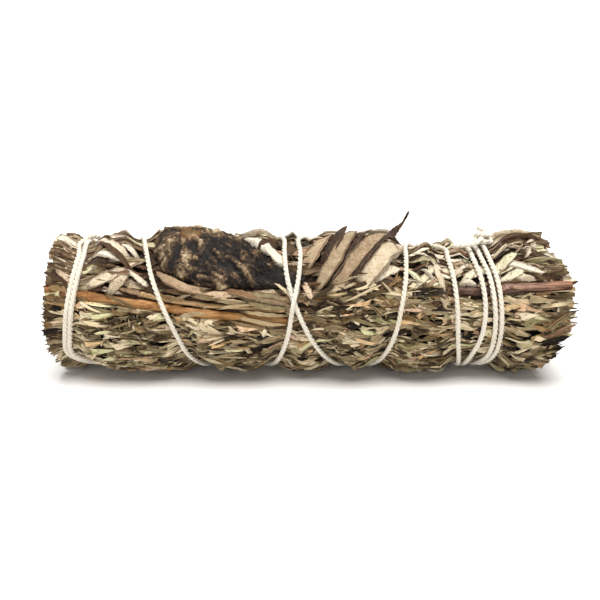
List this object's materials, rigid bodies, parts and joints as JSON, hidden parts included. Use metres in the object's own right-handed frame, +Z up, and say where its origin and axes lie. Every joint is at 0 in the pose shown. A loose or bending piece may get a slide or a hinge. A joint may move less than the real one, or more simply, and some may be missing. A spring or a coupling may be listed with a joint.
{
  "type": "sage smudge stick",
  "caption": "Bundle of dried sagebrush and white sage sprigs, cut to one length and bound along its length with cotton twine, lying on its side.",
  "frame": {"origin": "centre of the bundle's bounding box, on the surface that it lies on", "axes": "+X along the bundle toward its knotted end, -Y toward the side that the picture shows, +Z up"},
  "size_m": [0.159, 0.0429, 0.0477],
  "materials": {
    "sagebrush leaf": "dry, matt, grey-green and brown",
    "white sage leaf": "dry, matt, felted, pale",
    "dark sage leaf": "dry, wrinkled, dark brown",
    "peeled stem": "bare orange-brown wood",
    "bark": "thin brown bark",
    "cotton twine": "twisted off-white cotton"
  },
  "bodies": {
    "root": {"sagebrush_back": "sagebrush leaf", "sagebrush_low_back": "sagebrush leaf", "sagebrush_underside": "sagebrush leaf", "sagebrush_low_front": "sagebrush leaf", "sagebrush_front": "sagebrush leaf", "sprig_heart": "sagebrush leaf", "white_sage_front": "white sage leaf", "white_sage_back": "white sage leaf", "dark_sage_leaf": "dark sage leaf", "stem_orange": "peeled stem", "stem_side_shoot": "peeled stem", "stem_brown": "bark", "stem_in_sagebrush_back": "bark", "stem_in_sagebrush_low_back": "bark", "stem_in_sagebrush_underside": "bark", "stem_in_sagebrush_low_front": "bark", "stem_in_sagebrush_front": "bark", "stem_in_white_sage_front": "bark", "stem_in_white_sage_back": "bark", "stem_in_heart_1": "bark", "stem_in_heart_2": "bark", "stem_in_heart_3": "bark", "twine": "cotton twine"}
  },
  "joints": []
}
